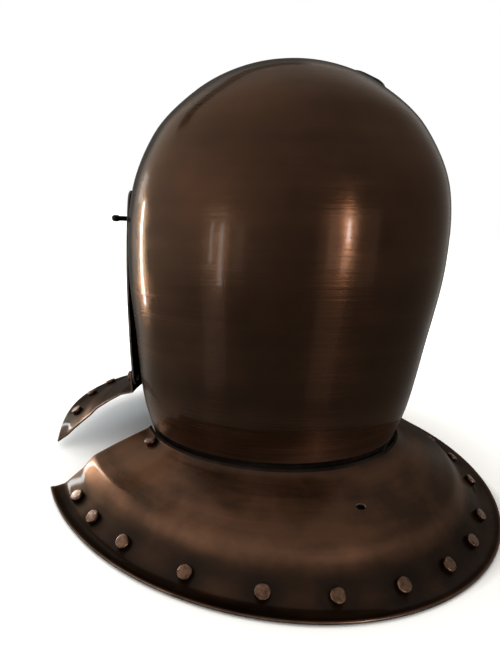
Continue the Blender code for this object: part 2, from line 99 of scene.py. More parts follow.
RIM_HALF_LENGTH = 0.180
REAR_RIM_HALF_SPAN = 102.0
REAR_NECK_HALF_SPAN = 111.0
NECK_ROOM = 0.00124
REAR_NECK_EASE = 0.0013
FRONT_RIM_HALF_WIDTH = 0.164
FRONT_RIM_HEIGHT = 0.023
FRONT_RIM_DROOP = 0.017
FRONT_RIM_HALF_SPAN = 58.0
FRONT_FLANGE_UP = 0.012
FRONT_FLANGE_DOWN = 0.004
REAR_SECTION = (
    (0.000, 0.000),
    (0.040, 0.070),
    (0.200, 0.205),
    (0.400, 0.365),
    (0.590, 0.520),
    (0.690, 0.750),
    (0.870, 1.000),
    (1.000, 1.000),
)
FRONT_SECTION = (
    (0.000, 0.000),
    (0.140, 0.060),
    (0.300, 0.220),
    (0.480, 0.410),
    (0.560, 0.540),
    (0.870, 0.905),
    (1.000, 1.000),
)
RIVET_RADIUS = 0.0044
RIVET_HEIGHT = 0.0036
RIVET_SHANK = 0.0020
RIVET_TAIL_RADIUS = 0.0030
RIVET_TAIL_HEIGHT = 0.0010
REAR_RIVET_OUT = 0.810
REAR_RIVET_STEP = 13.85
REAR_RIVET_STRAYS = (
    0.0, 0.0, 1.1, -1.2, -2.0, 1.9, 0.8, -0.5, -0.6, 0.1, 0.6, 2.2, 4.1, 1.6, -2.6,
)
FRONT_RIVET_OUT = 0.820
FRONT_RIVET_STEP = 10.95
FRONT_RIVET_COUNT = 10
NECK_RIVET_ANGLE = 96.7
NECK_RIVET_OUT = 0.085
FLANGE_RIVET_ANGLE = 47.5
NAIL_HOLE_ANGLE = 14.9
NAIL_HOLE_OUT = 0.330
NAIL_HOLE_WIDTH = 0.0065
NAIL_HOLE_HEIGHT = 0.0045
CROWN_PLATE_LENGTH = 0.022
CROWN_PLATE_WIDTH = 0.012
CROWN_PLATE_HEIGHT = 0.0036
CROWN_PLATE_RIGHT = 0.0298
CROWN_PLATE_BACK = 0.0628
CROWN_PLATE_TURN = math.radians(140.0)

# Fineness of the visible meshes
SKULL_SIDES = 144
SKULL_ROWS = 64
VISOR_SIDES = 104
VISOR_ROWS = 56
REAR_STEPS = 240
FRONT_STEPS = 120
PLATE_STEPS = 46
RIVET_SIDES = 28

# Hand work on the sheet: how far it strays from true, and over what distance
SKULL_STRAY = 0.00010
PLATE_STRAY = 0.00045
STRAY_SPAN = 0.045
EDGE_ROUND = 0.00035
LIP_RISE = 0.0012
LIP_START = 0.93
RIM_CLEARANCE = 0.0002
REAR_SOFTNESS = 0.035
FRONT_SOFTNESS = 0.03
HAMMER_SPAN = 0.0035
HAMMER_DEPTH = 0.0003

# Tarnish, wear and painted shade: heights and reaches
# Depth of the band of painted shadow where the skull meets the collar
NECK_SHADE_DEPTH = 0.0014
FOOT_SHADE_HEIGHT = 0.008
FOOT_SHADE_BELOW = 0.004
LOW_SHADE_TOP = 0.175
LOW_SHADE_SPAN = 0.15
FOOT_WEAR_TOP = 0.045
FOOT_WEAR_SPAN = 0.040
RIVET_SOIL_REACH = 0.0095
FLANGE_SOIL_REACH = 0.0085

# Finishes of a sheet, after its face
BACK_FINISH = 1
EDGE_FINISH = 2

# Where the cutters start and end before the face, as shares of the skull's half length
FACE_CUT_START = -0.2
SLOT_CUT_START = -0.3
CUT_END = -2
HALVINGS = 40

# The room that the metal mirrors
LIT_SIDE = (0.423, -0.906, 0.0)
DUSK_SIDE = (-0.574, -0.819, 0.0)
BEAM_ACROSS = (0.280, 0.607, 0.744)
BEAM_MIDDLE = (-0.14, -0.745, 0.655)
FLOOR_RADIUS = 6.0
FLOOR_DROP = 0.0002
UNDER_HELMET = (-0.02, 0.06, 0.0)

HELMET_AXIS = Matrix.Translation((0, NECK_SHIFT, NECK_HEIGHT)) @ Matrix.Rotation(LEAN, 4, "X")
HINGE = HELMET_AXIS @ Matrix.Translation((0, -HINGE_FORWARD, HINGE_HEIGHT))


# Meshes

def add_object(name, mesh, matrix=None):
    piece = bpy.data.objects.new(name, mesh)
    bpy.context.collection.objects.link(piece)
    if matrix is not None:
        piece.matrix_world = matrix
    return piece


def mesh_from(bm, name):
    mesh = bpy.data.meshes.new(name)
    bm.to_mesh(mesh)
    bm.free()
    return mesh


def smooth_but_for(mesh, degrees):
    """Shades a mesh smooth, with edges that turn further than the angle kept sharp."""
    mesh.shade_smooth()
    mesh.set_sharp_from_angle(angle=math.radians(degrees))


def grid_mesh(name, rows, across, marks, closed=False, flip=False):
    """A surface through rows of points.

    across holds each row's distance along the sheet, and marks each point's (tarnish and painted
    shade, wear and painted light).
    """
    points = []
    starts = []
    for row in rows:
        starts.append(len(points))
        points.extend(row)
    faces = []
    places = []
    for r in range(len(rows) - 1):
        count = len(rows[r])
        pole = len(rows[r + 1]) == 1
        for i in range(count if closed else count - 1):
            j = (i + 1) % count
            low = (starts[r] + i, (i, r))
            low_next = (starts[r] + j, (i + 1, r))
            if pole:
                corners = [low, (starts[r + 1], (i + 0.5, r + 1)), low_next]
            else:
                high = (starts[r + 1] + i, (i, r + 1))
                high_next = (starts[r + 1] + j, (i + 1, r + 1))
                corners = [low, high, high_next, low_next]
            if flip:
                corners.reverse()
            faces.append([corner[0] for corner in corners])
            places.extend(corner[1] for corner in corners)
    mesh = bpy.data.meshes.new(name)
    mesh.from_pydata(points, [], faces)
    widest = max(
        sum((a - b).length for a, b in zip(row, row[1:])) for row in rows if len(row) > 1
    )
    columns = max(len(row) for row in rows) - (0 if closed else 1)
    layer = mesh.uv_layers.new(name="sheet")
    for loop, (column, r) in enumerate(places):
        layer.data[loop].uv = (widest * column / columns, across[r])
    for name_of_mark, which in (("tarnish_and_shade", 0), ("wear_and_light", 1)):
        attribute = mesh.attributes.new(name_of_mark, "FLOAT", "POINT")
        for i, mark in enumerate(marks):
            attribute.data[i].value = mark[which]
    return mesh


def bake(piece, name):
    """Applies a piece's modifiers and shades it smooth but for its corners."""
    graph = bpy.context.evaluated_depsgraph_get()
    mesh = bpy.data.meshes.new_from_object(piece.evaluated_get(graph))
    mesh.name = name
    piece.modifiers.clear()
    piece.data = mesh
    smooth_but_for(mesh, 38)
    mesh.validate()


def sheet_piece(name, mesh, finishes, cutters):
    """A plate of sheet metal: its face, its back and its edge each have a finish."""
    piece = add_object(name, mesh)
    for finish in finishes:
        mesh.materials.append(finish)
    wall = piece.modifiers.new("sheet", "SOLIDIFY")
    wall.thickness = SHEET
    wall.offset = -1
    wall.use_even_offset = True
    wall.use_quality_normals = True
    wall.material_offset = BACK_FINISH
    wall.material_offset_rim = EDGE_FINISH
    edge = piece.modifiers.new("edge", "BEVEL")
    edge.width = EDGE_ROUND
    edge.segments = 2
    edge.limit_method = "ANGLE"
    edge.angle_limit = math.radians(60)
    for cutter in cutters:
        hole = piece.modifiers.new(cutter.name, "BOOLEAN")
        hole.operation = "DIFFERENCE"
        hole.solver = "EXACT"
        hole.object = cutter
    bake(piece, name)
    for cutter in cutters:
        bpy.data.objects.remove(cutter, do_unlink=True)
    return piece


def paint_neck_shadow(piece, above):
    """Paints shadow: gives a sheet the near-black back finish above or below the line where the
    skull meets the collar.
    """
    to_helmet = HELMET_AXIS.inverted()
    for face in piece.data.polygons:
        height = (to_helmet @ face.center).z
        if (height > -NECK_SHADE_DEPTH) if above else (height < NECK_SHADE_DEPTH):
            face.material_index = BACK_FINISH


def cutter_object(name, bm):
    """A cutter whose cut faces get the edge's finish."""
    bmesh.ops.recalc_face_normals(bm, faces=bm.faces)
    for face in bm.faces:
        face.material_index = EDGE_FINISH
    mesh = bpy.data.meshes.new(name)
    for _ in range(EDGE_FINISH + 1):
        mesh.materials.append(None)
    bm.to_mesh(mesh)
    bm.free()
    cutter = add_object(name, mesh)
    cutter.hide_render = True
    return cutter


def turned_mesh(name, profile, sides):
    """A round solid about Z from a profile of radius and height, top to bottom."""
    bm = bmesh.new()
    points = [bm.verts.new((radius, 0, height)) for radius, height in profile]
    edges = [bm.edges.new(pair) for pair in zip(points, points[1:])]
    bmesh.ops.spin(
        bm, geom=points + edges, axis=(0, 0, 1), cent=(0, 0, 0), angle=math.tau, steps=sides
    )
    bmesh.ops.remove_doubles(bm, verts=bm.verts, dist=1e-6)
    bmesh.ops.recalc_face_normals(bm, faces=bm.faces)
    mesh = mesh_from(bm, name)
    smooth_but_for(mesh, 60)
    return mesh


def row_lengths(rows, column):
    """Each row's distance from the first one, measured down one column."""
    lengths = [0.0]
    for before, after in zip(rows, rows[1:]):
        a = before[min(column, len(before) - 1)]
        b = after[min(column, len(after) - 1)]
        lengths.append(lengths[-1] + (a - b).length)
    return lengths


def bell(distance, width):
    return math.exp(-((distance / width) ** 2))


def ease(value):
    value = min(max(value, 0.0), 1.0)
    return value * value * (3 - 2 * value)


def stray(point, seed):
    """A smooth value from -1 to 1 that changes over the hand work's span."""
    return noise.noise(Vector(point) / STRAY_SPAN + Vector((seed, seed * 2.3, seed * 0.7)))


# Skull

def smooth_value(columns, table, wanted, at):
    """Reads one column of a table of sections at a share of the height, without corners."""
    value = columns.index(wanted)
    heights = [row[0] for row in table]
    values = [row[value] for row in table]
    slopes = []
    for i in range(len(table)):
        before = max(i - 1, 0)
        after = min(i + 1, len(table) - 1)
        slopes.append((values[after] - values[before]) / (heights[after] - heights[before]))
    last = len(table) - 2
    i = min(max(sum(height <= at for height in heights) - 1, 0), last)
    run = heights[i + 1] - heights[i]
    t = (at - heights[i]) / run
    start = values[i] * (1 + 2 * t) * (1 - t) ** 2 + slopes[i] * run * t * (1 - t) ** 2
    end = values[i + 1] * (3 - 2 * t) * t ** 2 - slopes[i + 1] * run * t ** 2 * (1 - t)
    return start + end


SKULL_AREAS = tuple((height, size ** 2) for height, size, _ in SKULL_SECTIONS)


def skull_ring(share):
    size = math.sqrt(max(smooth_value(("height", "area"), SKULL_AREAS, "area", share), 0))
    back = smooth_value(SKULL_COLUMNS, SKULL_SECTIONS, "set_back", share)
    return SKULL_HALF_WIDTH * size, SKULL_HALF_LENGTH * size, SKULL_HALF_LENGTH * back


def skull_share(height):
    return (height + SKULL_BELOW_NECK) / SKULL_HEIGHT


def ring_point(half_width, half_length, centre, degrees, height):
    angle = math.radians(degrees)
    return Vector((half_width * math.sin(angle), centre + half_length * math.cos(angle), height))


def rounded_box(bm, half_width, bottom, top, corner, near, far):
    """Adds a box along Y whose upright corners are round."""
    outline = []
    arc_steps = 12
    corners = (
        (half_width - corner, top - corner, 0),
        (corner - half_width, top - corner, 90),
        (corner - half_width, bottom + corner, 180),
        (half_width - corner, bottom + corner, 270),
    )
    for x, z, start in corners:
        for step in range(arc_steps + 1):
            angle = math.radians(start + 90 / arc_steps * step)
            outline.append((x + corner * math.cos(angle), near, z + corner * math.sin(angle)))
    face = bm.faces.new([bm.verts.new(HELMET_AXIS @ Vector(point)) for point in outline])
    swept = bmesh.ops.extrude_face_region(bm, geom=[face])
    moved = [item for item in swept["geom"] if isinstance(item, bmesh.types.BMVert)]
    along = HELMET_AXIS.to_3x3() @ Vector((0, far - near, 0))
    bmesh.ops.translate(bm, verts=moved, vec=along)


def side_reach(point_at, wanted, low, high):
    """Finds where, between two angles, a surface comes to a wanted place along Y."""
    for _ in range(HALVINGS):
        middle = (low + high) / 2
        if point_at(middle).y > wanted:
            low = middle
        else:
            high = middle
    return point_at((low + high) / 2)


def skull_reach(back=0.0):
    width, length, centre = skull_ring(skull_share(HINGE_HEIGHT))
    place = back - HINGE_FORWARD
    return side_reach(
        lambda turn: ring_point(width, length, centre, turn, HINGE_HEIGHT), place, 0, 180
    ).x


def visor_reach():
    return side_reach(
        lambda turn: visor_point(180 - turn, HINGE_HEIGHT), -HINGE_FORWARD, 90, 180
    ).x


def bolt_cutter(name):
    bm = bmesh.new()
    reach = visor_reach()
    for side in (-1, 1):
        place = HINGE @ Matrix.Translation((side * reach * 0.9, 0, 0)) @ Matrix.Rotation(
            math.pi / 2, 4, "Y"
        )
        bmesh.ops.create_cone(
            bm,
            cap_ends=True,
            segments=24,
            radius1=BOLT_RADIUS + GAP,
            radius2=BOLT_RADIUS + GAP,
            depth=reach * 0.5,
            matrix=place,
        )
    return cutter_object(name, bm)


def make_skull(finishes):
    rows = []
    marks = []
    for row in range(SKULL_ROWS):
        share = math.sin(math.pi / 2 * row / SKULL_ROWS)
        width, length, centre = skull_ring(share)
        height = share * SKULL_HEIGHT - SKULL_BELOW_NECK
        steady = ease((height - SKULL_BELOW_NECK) / 0.04)
        ring = []
        for side in range(SKULL_SIDES):
            point = ring_point(width, length, centre, 360 * side / SKULL_SIDES + 180, height)
            outward = Vector((point.x, point.y - centre, 0)).normalized()
            point += outward * SKULL_STRAY * steady * stray(point, 1.0)
            ring.append(HELMET_AXIS @ point)
            # Painted shade: darker at the foot where the skull sits in the collar, and darker
            # towards the bottom, most at the back.
            low = ease((LOW_SHADE_TOP - height) / LOW_SHADE_SPAN)
            turn = math.degrees(math.atan2(point.x, point.y - centre))
            soil_and_shade = 0.85 * bell(height, FOOT_SHADE_HEIGHT) + 0.8 * ease(-height / FOOT_SHADE_BELOW)
            soil_and_shade += low * (0.22 + 0.25 * bell(turn - 2, 20))
            marks.append((soil_and_shade, 0.24 * ease((FOOT_WEAR_TOP - height) / FOOT_WEAR_SPAN)))
        rows.append(ring)
    crown = SKULL_HEIGHT - SKULL_BELOW_NECK
    rows.append([HELMET_AXIS @ Vector((0, skull_ring(1)[2], crown))])
    marks.append((0.0, 0.0))
    mesh = grid_mesh("skull_shell", rows, row_lengths(rows, 0), marks, closed=True)
    bm = bmesh.new()
    near = FACE_CUT_START * SKULL_HALF_LENGTH
    far = CUT_END * SKULL_HALF_LENGTH
    rounded_box(bm, FACE_HALF_WIDTH, FACE_BOTTOM, FACE_TOP, FACE_CORNER, near, far)
    cutters = [cutter_object("face_opening", bm), bolt_cutter("skull_bolt_holes")]
    piece = sheet_piece("skull_shell", mesh, finishes, cutters)
    paint_neck_shadow(piece, above=False)
    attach(piece, "helmet")
    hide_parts("skull")


# Visor

def visor_widest():
    size = max(row[1] for row in SKULL_SECTIONS)
    back = [row[2] for row in SKULL_SECTIONS if row[1] == size][0]
    off = VISOR_PLAY + SHEET
    return SKULL_HALF_WIDTH * size + off, SKULL_HALF_LENGTH * size + off, SKULL_HALF_LENGTH * back


def visor_point(degrees, height, proud=0.0):
    width, length, centre = visor_widest()
    share = (height - VISOR_BOTTOM) / (VISOR_TOP - VISOR_BOTTOM)
    tuck = VISOR_TOP_TUCK if share > 0.5 else VISOR_BOTTOM_TUCK
    off = proud - tuck * (2 * share - 1) ** 2
    keel = max(0.0, 1 - abs(degrees) / VISOR_KEEL_SPAN)
    bulge = math.sin(math.pi * min(max(share, 0.0), 1.0))
    reach = VISOR_BROW_REACH + (VISOR_KEEL_REACH - VISOR_BROW_REACH) * bulge
    forward = reach * keel * keel * (3 - 2 * keel)
    point = ring_point(width + off, length + off, centre, 180 - degrees, height)
    return point - Vector((0, forward, 0))


def visor_half_span(height):
    edge = min(height - VISOR_BOTTOM, VISOR_TOP - height)
    inside = VISOR_CORNER - max(VISOR_CORNER - edge, 0.0)
    cut_back = VISOR_CORNER - math.sqrt(max(VISOR_CORNER ** 2 - (VISOR_CORNER - inside) ** 2, 0))
    return VISOR_HALF_SPAN - math.degrees(cut_back / visor_widest()[0])


def visor_heights():
    near_edge = [VISOR_CORNER * (1 - math.cos(math.pi / 2 * step / 9)) for step in range(10)]
    heights = [VISOR_BOTTOM + step for step in near_edge]
    middle = VISOR_TOP - VISOR_BOTTOM - 2 * VISOR_CORNER
    for row in range(1, VISOR_ROWS):
        heights.append(VISOR_BOTTOM + VISOR_CORNER + middle * row / VISOR_ROWS)
    heights.extend(VISOR_TOP - step for step in reversed(near_edge))
    return heights


def slot_cutter(bm, x, height, long, wide, upright):
    """Adds a cutter for one slot with round ends, upright or level."""
    half_width = (wide if upright else long) / 2
    half_height = (long if upright else wide) / 2
    corner = wide / 2.02
    outline = []
    arc_steps = 6
    for sign_x, sign_z, turn in ((1, 1, 0), (-1, 1, 90), (-1, -1, 180), (1, -1, 270)):
        for step in range(arc_steps + 1):
            angle = math.radians(turn + 90 / arc_steps * step)
            outline.append((
                x + sign_x * (half_width - corner) + corner * math.cos(angle),
                height + sign_z * (half_height - corner) + corner * math.sin(angle),
            ))
    near = SLOT_CUT_START * SKULL_HALF_LENGTH
    far = CUT_END * SKULL_HALF_LENGTH
    ends = []
    for y in (near, far):
        ends.append([bm.verts.new(HELMET_AXIS @ Vector((px, y, pz))) for px, pz in outline])
    bm.faces.new(ends[0])
    bm.faces.new(list(reversed(ends[1])))
    count = len(outline)
    for i in range(count):
        j = (i + 1) % count
        bm.faces.new((ends[0][j], ends[0][i], ends[1][i], ends[1][j]))


def make_visor(finishes):
    rows = []
    marks = []
    for height in visor_heights():
        span = visor_half_span(height)
        row = []
        edge = min(height - VISOR_BOTTOM, VISOR_TOP - height)
        for side in range(VISOR_SIDES + 1):
            turn = span - 2 * span * side / VISOR_SIDES
            point = visor_point(turn, height)
            row.append(HELMET_AXIS @ point)
            keel_wear = bell(turn, 3.0) * 0.5
            # Darker round the breathing slots and the sight, and along the lower edge.
            slot_darkening = bell(height - BREATH_HEIGHT, 0.020) * bell(abs(turn) - 24, 22) * 0.5
            sight_darkening = bell(height - SIGHT_HEIGHT, 0.010) * bell(abs(turn) - 20, 18) * 0.5
            soil_and_shade = slot_darkening + sight_darkening + bell(height - VISOR_BOTTOM, 0.016) * 0.6
            marks.append((soil_and_shade, keel_wear + bell(edge, 0.0015) * 0.6))
        rows.append(row)
    mesh = grid_mesh("visor_plate", rows, row_lengths(rows, VISOR_SIDES // 2), marks)
    bm = bmesh.new()
    for side in (-1, 1):
        slot_cutter(bm, side * SIGHT_MIDDLE, SIGHT_HEIGHT, SIGHT_LENGTH, SIGHT_WIDTH, False)
        for slot in range(BREATHS_EACH_SIDE):
            x = side * (BREATH_FIRST + BREATH_PITCH * slot)
            slot_cutter(bm, x, BREATH_HEIGHT, BREATH_LENGTH, BREATH_WIDTH, True)
    cutters = [cutter_object("visor_slots", bm), bolt_cutter("visor_bolt_holes")]
    piece = sheet_piece("visor_plate", mesh, finishes, cutters)
    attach(piece, "visor")
    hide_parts("visor")


# Collar plates

def section_down(section, out):
    for start, end in zip(section, section[1:]):
        if start[0] <= out <= end[0]:
            return start[1] + (end[1] - start[1]) * (out - start[0]) / (end[0] - start[0])
    return section[0][1] if out < 0 else section[-1][1]


def eased_down(section, out, softness):
    """The section's drop with its corners rounded, kept exact at both ends."""
    reach = min(softness, out, 1 - out)
    steps = (-1.0, -0.5, 0.0, 0.5, 1.0)
    return sum(section_down(section, out + reach * step) for step in steps) / len(steps)


def plate_point(neck, rim, out, down):
    return Vector((
        neck.x + (rim.x - neck.x) * out,
        neck.y + (rim.y - neck.y) * out,
        neck.z + (rim.z - neck.z) * down,
    ))


def rear_point(degrees, out, down=None):
    width, length, centre = skull_ring(skull_share(0.0))
    back = length + NECK_ROOM + REAR_NECK_EASE
    neck = ring_point(width + NECK_ROOM, back, centre, degrees, 0.0)
    rim = ring_point(RIM_HALF_WIDTH, RIM_HALF_LENGTH, 0.0, degrees, SHEET)
    drop = section_down(REAR_SECTION, out) if down is None else down
    return plate_point(HELMET_AXIS @ neck, rim, out, drop)


def front_point(degrees, out, down=None):
    neck = visor_point(degrees, VISOR_BOTTOM - FRONT_FLANGE_DOWN, SHEET + GAP)
    droop = FRONT_RIM_DROOP * (abs(degrees) / FRONT_RIM_HALF_SPAN) ** 7
    height = FRONT_RIM_HEIGHT - droop
    rim = ring_point(FRONT_RIM_HALF_WIDTH, RIM_HALF_LENGTH, 0.0, 180 - degrees, height)
    drop = section_down(FRONT_SECTION, out) if down is None else down
    return plate_point(HELMET_AXIS @ neck, rim, out, drop)


def flange_point(degrees, up):
    return HELMET_AXIS @ visor_point(degrees, VISOR_BOTTOM + up, SHEET + GAP)


def surface_frame(point_at, first, second):
    """A matrix on a surface, with Z along its outward normal."""
    step = 0.001
    origin = point_at(first, second)
    along = point_at(first + 1.0, second) - point_at(first - 1.0, second)
    across = point_at(first, second + step) - point_at(first, second - step)
    normal = along.cross(across).normalized()
    outward = Vector((origin.x, origin.y, 0.02))
    if normal.dot(outward) < 0:
        normal.negate()
    x = along.normalized()
    y = normal.cross(x)
    turned = Matrix((x, y, normal)).transposed().to_4x4()
    return Matrix.Translation(origin) @ turned


def rear_rivet_places():
    middle = (len(REAR_RIVET_STRAYS) - 1) / 2
    turns = [REAR_RIVET_STEP * (i - middle) + off for i, off in enumerate(REAR_RIVET_STRAYS)]
    return [surface_frame(rear_point, turn, REAR_RIVET_OUT) for turn in turns]


def neck_rivet_places():
    return [surface_frame(rear_point, turn, NECK_RIVET_OUT)
            for turn in (-NECK_RIVET_ANGLE, NECK_RIVET_ANGLE)]


def front_rivet_places():
    middle = (FRONT_RIVET_COUNT - 1) / 2
    turns = [FRONT_RIVET_STEP * (i - middle) for i in range(FRONT_RIVET_COUNT)]
    return [surface_frame(front_point, turn, FRONT_RIVET_OUT) for turn in turns]


def flange_rivet_places():
    return [surface_frame(flange_point, turn, FRONT_FLANGE_UP / 2)
            for turn in (-FLANGE_RIVET_ANGLE, FLANGE_RIVET_ANGLE)]


def soil_round(places, point, width):
    return max(bell((place.translation - point).length, width) for place in places)


def plate_grid(point_at, section, neck_span, rim_span, steps, places, softness, lip):
    """Rows and marks of a flared plate, with its hand work and its turned lip."""
    rows = []
    marks = []
    for step in range(PLATE_STEPS + 1):
        out = step / PLATE_STEPS
        span = neck_span + (rim_span - neck_span) * out
        row = []
        for i in range(steps + 1):
            turn = 2 * span * i / steps - span
            end = min(i, steps - i) / steps
            soft = softness * (0.35 + 0.65 * ease(end / 0.12))
            point = point_at(turn, out, eased_down(section, out, soft))
            steady = ease(min(out, 1 - out) / 0.15) * ease(end / 0.02)
            point.z += PLATE_STRAY * steady * stray(point, 3.0)
            point.z += lip * ease((out - LIP_START) / (1 - LIP_START))
            point.z = max(point.z, SHEET + RIM_CLEARANCE)
            row.append(point)
            # Darker round the rivets (tarnish) and on the outer band, and painted shade along the
            # neck edge and on the middle towards the wearer's right.
            soil_and_shade = 0.5 * soil_round(places, point, RIVET_SOIL_REACH) + 0.6 * bell(out, 0.06)
            soil_and_shade += 0.72 * ease((out - 0.64) / 0.10) + 0.28 * bell(turn + 12, 32)
            # Lighter where worn at the crease, the rim and the cut ends; the lighter patch towards
            # the wearer's left is painted light.
            wear_and_light = 0.22 * bell(out - 0.62, 0.04) + 0.5 * bell(1 - out, 0.010)
            wear_and_light += 0.3 * bell(end, 0.005) + 0.16 * bell(turn - 45, 28) * bell(out - 0.3, 0.3)
            marks.append((soil_and_shade, wear_and_light))
        rows.append(row)
    return rows, marks


def make_rear_collar(finishes):
    places = rear_rivet_places() + neck_rivet_places()
    rows, marks = plate_grid(
        rear_point, REAR_SECTION, REAR_NECK_HALF_SPAN, REAR_RIM_HALF_SPAN, REAR_STEPS,
        places, REAR_SOFTNESS, LIP_RISE,
    )
    across = row_lengths(rows, REAR_STEPS // 2)
    mesh = grid_mesh("rear_plate", rows, across, marks, flip=True)
    bm = bmesh.new()
    place = surface_frame(rear_point, NAIL_HOLE_ANGLE, NAIL_HOLE_OUT)
    oval = Matrix.Diagonal((NAIL_HOLE_WIDTH / 2, NAIL_HOLE_HEIGHT / 2, 8 * SHEET, 1))
    bmesh.ops.create_cone(
        bm, cap_ends=True, segments=28, radius1=1, radius2=1, depth=1, matrix=place @ oval
    )
    piece = sheet_piece("rear_plate", mesh, finishes, [cutter_object("nail_hole", bm)])
    paint_neck_shadow(piece, above=True)
    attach(piece, "helmet")
    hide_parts("rear_collar")


def make_front_collar(finishes):
    places = front_rivet_places() + flange_rivet_places()
    rows, marks = plate_grid(
        front_point, FRONT_SECTION, VISOR_HALF_SPAN, FRONT_RIM_HALF_SPAN, FRONT_STEPS,
        places, FRONT_SOFTNESS, 0.0,
    )
    flange = []
    flange_marks = []
    for share in (1.0, 0.75, 0.5, 0.25, 0.0):
        up = share * FRONT_FLANGE_UP
        wear_and_light = bell(FRONT_FLANGE_UP - up, 0.001)
        row = []
        for i in range(FRONT_STEPS + 1):
            point = flange_point(2 * VISOR_HALF_SPAN * i / FRONT_STEPS - VISOR_HALF_SPAN, up)
            row.append(point)
            flange_marks.append((soil_round(places, point, FLANGE_SOIL_REACH), wear_and_light))
        flange.append(row)
    rows = flange + rows
    across = row_lengths(rows, FRONT_STEPS // 2)
    mesh = grid_mesh("front_plate", rows, across, flange_marks + marks)
    piece = sheet_piece("front_plate", mesh, finishes, [])
    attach(piece, "visor")
    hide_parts("front_collar")


# Fasteners

def rivet_mesh(name, walls, seed):
    """A hammered rivet with a flat dome, a rounded shoulder and its tail."""
    grip = walls * SHEET + (walls - 1) * GAP
    shoulder = []
    for step in range(7):
        angle = math.pi / 2 * step / 6
        shoulder.append((
            RIVET_RADIUS * (0.76 + 0.24 * math.sin(angle)),
            RIVET_HEIGHT * (0.60 + 0.33 * math.cos(angle)),
        ))
    profile = [(0.0, RIVET_HEIGHT), (RIVET_RADIUS * 0.4, RIVET_HEIGHT * 0.985)]
    profile.extend(shoulder)
    profile.extend((
        (RIVET_RADIUS * 0.97, RIM_CLEARANCE),
        (RIVET_RADIUS * 0.92, 0.0),
        (RIVET_SHANK, 0.0),
        (RIVET_SHANK, -grip - GAP),
        (RIVET_TAIL_RADIUS, -grip - GAP),
        (RIVET_TAIL_RADIUS * 0.8, -grip - GAP - RIVET_TAIL_HEIGHT * 0.8),
        (0.0, -grip - GAP - RIVET_TAIL_HEIGHT),
    ))
    mesh = turned_mesh(name, profile, RIVET_SIDES)
    for vertex in mesh.vertices:
        if vertex.co.z > 0.5 * RIVET_HEIGHT:
            rough = noise.noise(vertex.co / HAMMER_SPAN + Vector((seed * 3.1, seed, 0)))
            vertex.co.x *= 1 + 0.10 * rough
            vertex.co.y *= 1 + 0.08 * rough
            vertex.co.z -= HAMMER_DEPTH * abs(rough)
    return mesh


def make_rivets(finish):
    """All the rivets, each a little askew and turned its own way."""
    sets = [(f"rear_rivet_{i + 1:02d}", place, 1, "helmet")
            for i, place in enumerate(rear_rivet_places())]
    for place, side in zip(neck_rivet_places(), ("right", "left")):
        sets.append((f"neck_rivet_{side}", place, 1, "helmet"))
    for i, place in enumerate(front_rivet_places()):
        sets.append((f"front_rivet_{i + 1:02d}", place, 1, "visor"))
    for place, side in zip(flange_rivet_places(), ("right", "left")):
        sets.append((f"flange_rivet_{side}", place, 2, "visor"))
    for number, (node, place, walls, body) in enumerate(sets):
        mesh = rivet_mesh(node + "_head", walls, number + 1)
        mesh.materials.append(finish)
        tilt = Matrix.Rotation(math.radians(3 * math.sin(number * 2.4)), 4, "X")
        turn = Matrix.Rotation(number * 1.7, 4, "Z")
        piece = add_object(node + "_head", mesh, place @ tilt @ turn)
        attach(piece, body)
        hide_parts(node)


def make_bolts(finish):
    """The two pivots, from the inner head to the knob at the tip."""
    inside = skull_reach(-BOLT_HEAD_RADIUS) - 1.6 * SHEET - GAP
    tip = visor_reach() + BOLT_REACH
    profile = [(0.0, tip)]
    for step in range(1, 8):
        angle = math.pi / 2 * step / 7
        radius = BOLT_TIP_RADIUS * math.sin(angle)
        profile.append((radius, tip - BOLT_TIP_RADIUS * (1 - math.cos(angle))))
    profile.extend((
        (BOLT_TIP_RADIUS, tip - BOLT_TIP_LENGTH * 0.9),
        (BOLT_TIP_RADIUS * 0.95, tip - BOLT_TIP_LENGTH),
        (BOLT_RADIUS, tip - BOLT_TIP_LENGTH - (BOLT_TIP_RADIUS - BOLT_RADIUS)),
        (BOLT_RADIUS, inside),
        (BOLT_HEAD_RADIUS, inside),
        (BOLT_HEAD_RADIUS, inside - BOLT_HEAD_HEIGHT * 0.4),
        (BOLT_HEAD_RADIUS * 0.6, inside - BOLT_HEAD_HEIGHT),
        (0.0, inside - BOLT_HEAD_HEIGHT),
    ))
    for side, node in ((1, "pivot_bolt_left"), (-1, "pivot_bolt_right")):
        mesh = turned_mesh(node + "_turned", profile, 32)
        mesh.materials.append(finish)
        place = HINGE @ Matrix.Rotation(side * math.pi / 2, 4, "Y")
        piece = add_object(node + "_turned", mesh, place)
        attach(piece, "helmet")
        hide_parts(node)


def crown_height(x, y):
    """The dome's height over a place, found between two shares of the skull's height."""
    low = 0.6
    high = 1.0
    for _ in range(HALVINGS):
        share = (low + high) / 2
        width, length, centre = skull_ring(share)
        inside = (x / max(width, 1e-6)) ** 2 + ((y - centre) / max(length, 1e-6)) ** 2 < 1
        low, high = (share, high) if inside else (low, share)
    return low * SKULL_HEIGHT - SKULL_BELOW_NECK


